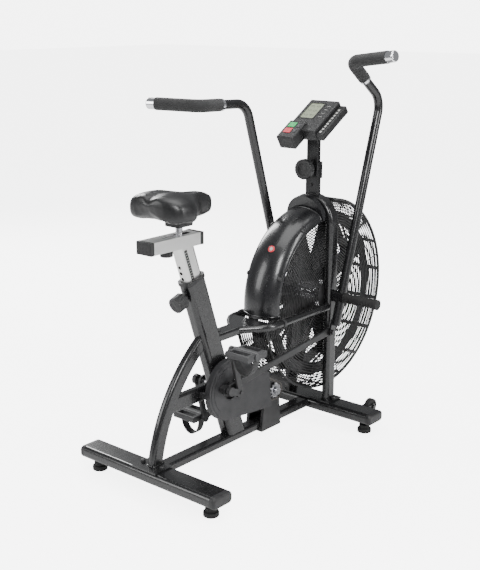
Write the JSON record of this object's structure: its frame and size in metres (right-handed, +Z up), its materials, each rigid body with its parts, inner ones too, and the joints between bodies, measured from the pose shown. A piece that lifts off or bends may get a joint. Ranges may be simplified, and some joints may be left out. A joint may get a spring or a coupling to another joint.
{
  "type": "air bike",
  "caption": "Upright air bike with a caged fan, moulded rear cover, swinging handles linked to pedals, sliding saddle and tilting console.",
  "frame": {"origin": "centre of the machine's footprint on the floor", "axes": "+X the way the rider faces, +Y to the rider's left, +Z up"},
  "size_m": [1.2274, 0.6626, 1.3594],
  "materials": {
    "frame_black": "satin",
    "cover_black": "satin moulded",
    "black_plastic": "fine grained",
    "guard_wire": "satin",
    "steel": "bright",
    "chrome": "polished",
    "chain": "oiled",
    "dark_steel": "satin dark",
    "fan_metal": "painted black",
    "seat_metal": "satin anodised",
    "rubber": "matt",
    "grip": "foam",
    "saddle_cover": "smooth vinyl",
    "pedal": "moulded",
    "screen": "grey green",
    "green_key": "moulded",
    "red_key": "moulded",
    "grey_key": "moulded"
  },
  "bodies": {
    "frame": {"rear_stabilizer": "frame_black", "front_stabilizer": "frame_black", "stabilizer_end_caps": "black_plastic", "stabilizer_brackets": "frame_black", "frame_fasteners": "dark_steel", "base_rail": "frame_black", "rear_arch_tube": "frame_black", "mid_rail": "frame_black", "seat_tube": "frame_black", "seat_collar": "black_plastic", "bottom_bracket": "dark_steel", "frame_arms": "frame_black", "hoop_legs": "frame_black", "hoop_arch": "frame_black", "mast": "frame_black", "guard_right": "guard_wire", "guard_left": "guard_wire", "guard_rim": "guard_wire", "fender_cover": "cover_black", "drive_bracket": "frame_black", "chain_guard": "cover_black", "fan_chain_guard": "cover_black", "chains": "chain", "foot_pegs": "rubber", "fan_axle": "steel"},
    "crankset": {"crank_spindle": "steel", "chainring": "dark_steel", "crank_arm_right": "dark_steel", "crank_arm_left": "dark_steel"},
    "jackshaft": {"jackshaft": "steel"},
    "fan": {"fan_hub": "chrome", "fan_blades": "fan_metal"},
    "rod_right": {"push_rod_right": "dark_steel"},
    "rod_left": {"push_rod_left": "dark_steel"},
    "pedal_right": {"pedal_right": "pedal"},
    "pedal_left": {"pedal_left": "pedal"},
    "lever_right": {"handle_right": "frame_black", "handle_grip_right": "grip"},
    "lever_left": {"handle_left": "frame_black", "handle_grip_left": "grip"},
    "seat": {"seat_post": "seat_metal", "seat_rail": "seat_metal"},
    "carriage": {"seat_carriage": "chrome", "saddle": "saddle_cover"},
    "height_pin": {"height_knob": "black_plastic"},
    "slider_screw": {"slider_knob": "black_plastic"},
    "console_stand": {"console_post": "frame_black"},
    "console": {"console_case": "black_plastic", "console_screen": "screen"},
    "mast_screw": {"mast_knob": "black_plastic"},
    "start_button": {"start_button": "green_key"},
    "stop_button": {"stop_button": "red_key"},
    "up_key": {"up_key": "grey_key"},
    "down_key": {"down_key": "grey_key"},
    "transport_wheel_right": {"transport_wheel_right": "rubber"},
    "transport_wheel_left": {"transport_wheel_left": "rubber"},
    "foot_rear_right": {"foot_rear_right": "rubber"},
    "foot_rear_left": {"foot_rear_left": "rubber"},
    "foot_front_right": {"foot_front_right": "rubber"},
    "foot_front_left": {"foot_front_left": "rubber"}
  },
  "joints": [
    {"name": "crank_spin", "type": "hinge", "parent": "frame", "child": "crankset", "pos_m": [-0.25475, 0, 0.268], "axis": [0, 1, 0], "continuous": true},
    {"name": "jackshaft_spin", "type": "hinge", "parent": "frame", "child": "jackshaft", "pos_m": [0.00125, 0, 0.186], "axis": [0, 1, 0], "continuous": true},
    {"name": "fan_spin", "type": "hinge", "parent": "frame", "child": "fan", "pos_m": [0.26325, 0, 0.488], "axis": [0, 1, 0], "continuous": true},
    {"name": "rod_right_pivot", "type": "hinge", "parent": "crankset", "child": "rod_right", "pos_m": [-0.30108, -0.078, 0.28395], "axis": [0, 1, 0], "continuous": true},
    {"name": "rod_left_pivot", "type": "hinge", "parent": "crankset", "child": "rod_left", "pos_m": [-0.20842, 0.078, 0.25205], "axis": [0, 1, 0], "continuous": true},
    {"name": "pedal_right_spin", "type": "hinge", "parent": "crankset", "child": "pedal_right", "pos_m": [-0.3053, -0.166, 0.43031], "axis": [0, 1, 0], "continuous": true},
    {"name": "pedal_left_spin", "type": "hinge", "parent": "crankset", "child": "pedal_left", "pos_m": [-0.2042, 0.166, 0.10569], "axis": [0, 1, 0], "continuous": true},
    {"name": "handle_right_swing", "type": "hinge", "parent": "frame", "child": "lever_right", "pos_m": [0.26325, -0.1335, 0.488], "axis": [0, 1, 0], "range_deg": [-39, 4]},
    {"name": "handle_left_swing", "type": "hinge", "parent": "frame", "child": "lever_left", "pos_m": [0.26325, 0.1335, 0.488], "axis": [0, 1, 0], "range_deg": [-4, 39]},
    {"name": "seat_height", "type": "slide", "parent": "frame", "child": "seat", "axis": [-0.3223, 0, 0.9466], "range_m": [-0.084, 0.126]},
    {"name": "seat_fore_aft", "type": "slide", "parent": "seat", "child": "carriage", "axis": [1, 0, 0], "range_m": [-0.055, 0.015]},
    {"name": "height_knob_pull", "type": "slide", "parent": "frame", "child": "height_pin", "axis": [-0.9466, 0, -0.3223], "range_m": [0, 0.008], "stiffness_N_per_m": 1000},
    {"name": "slider_knob_turn", "type": "hinge", "parent": "carriage", "child": "slider_screw", "pos_m": [-0.48775, 0, 0.757], "axis": [0, 0, 1], "range_deg": [-180, 180]},
    {"name": "console_height", "type": "slide", "parent": "frame", "child": "console_stand", "axis": [0, 0, 1], "range_m": [-0.015, 0.045]},
    {"name": "console_tilt", "type": "hinge", "parent": "console_stand", "child": "console", "pos_m": [0.24325, 0, 1.063], "axis": [0, 1, 0], "range_deg": [-12, 12]},
    {"name": "mast_knob_turn", "type": "hinge", "parent": "frame", "child": "mast_screw", "pos_m": [0.22125, 0, 0.944], "axis": [1, 0, 0], "range_deg": [-180, 180]},
    {"name": "start_button_press", "type": "slide", "parent": "console", "child": "start_button", "axis": [0.5225, 0, -0.8526], "range_m": [0, 0.0015], "stiffness_N_per_m": 400},
    {"name": "stop_button_press", "type": "slide", "parent": "console", "child": "stop_button", "axis": [0.5225, 0, -0.8526], "range_m": [0, 0.0015], "stiffness_N_per_m": 400},
    {"name": "up_key_press", "type": "slide", "parent": "console", "child": "up_key", "axis": [0.5225, 0, -0.8526], "range_m": [0, 0.0015], "stiffness_N_per_m": 400},
    {"name": "down_key_press", "type": "slide", "parent": "console", "child": "down_key", "axis": [0.5225, 0, -0.8526], "range_m": [0, 0.0015], "stiffness_N_per_m": 400},
    {"name": "transport_wheel_right_spin", "type": "hinge", "parent": "frame", "child": "transport_wheel_right", "pos_m": [0.34325, -0.222, 0.068], "axis": [0, 1, 0], "continuous": true},
    {"name": "foot_rear_right_turn", "type": "hinge", "parent": "frame", "child": "foot_rear_right", "pos_m": [-0.56975, -0.25, 0.01], "axis": [0, 0, 1], "range_deg": [-180, 180]},
    {"name": "foot_front_right_turn", "type": "hinge", "parent": "frame", "child": "foot_front_right", "pos_m": [0.26525, -0.25, 0.01], "axis": [0, 0, 1], "range_deg": [-180, 180]},
    {"name": "transport_wheel_left_spin", "type": "hinge", "parent": "frame", "child": "transport_wheel_left", "pos_m": [0.34325, 0.222, 0.068], "axis": [0, 1, 0], "continuous": true},
    {"name": "foot_rear_left_turn", "type": "hinge", "parent": "frame", "child": "foot_rear_left", "pos_m": [-0.56975, 0.25, 0.01], "axis": [0, 0, 1], "range_deg": [-180, 180]},
    {"name": "foot_front_left_turn", "type": "hinge", "parent": "frame", "child": "foot_front_left", "pos_m": [0.26525, 0.25, 0.01], "axis": [0, 0, 1], "range_deg": [-180, 180]}
  ],
  "couplings": [
    {"joint": "jackshaft_spin", "follows": "crank_spin", "ratio": 3.1429},
    {"joint": "fan_spin", "follows": "crank_spin", "ratio": 4.7143},
    {"joint": "rod_right_pivot", "follows": "crank_spin", "ratio": -1},
    {"joint": "rod_left_pivot", "follows": "crank_spin", "ratio": -1},
    {"joint": "handle_left_swing", "follows": "handle_right_swing", "ratio": -1}
  ]
}
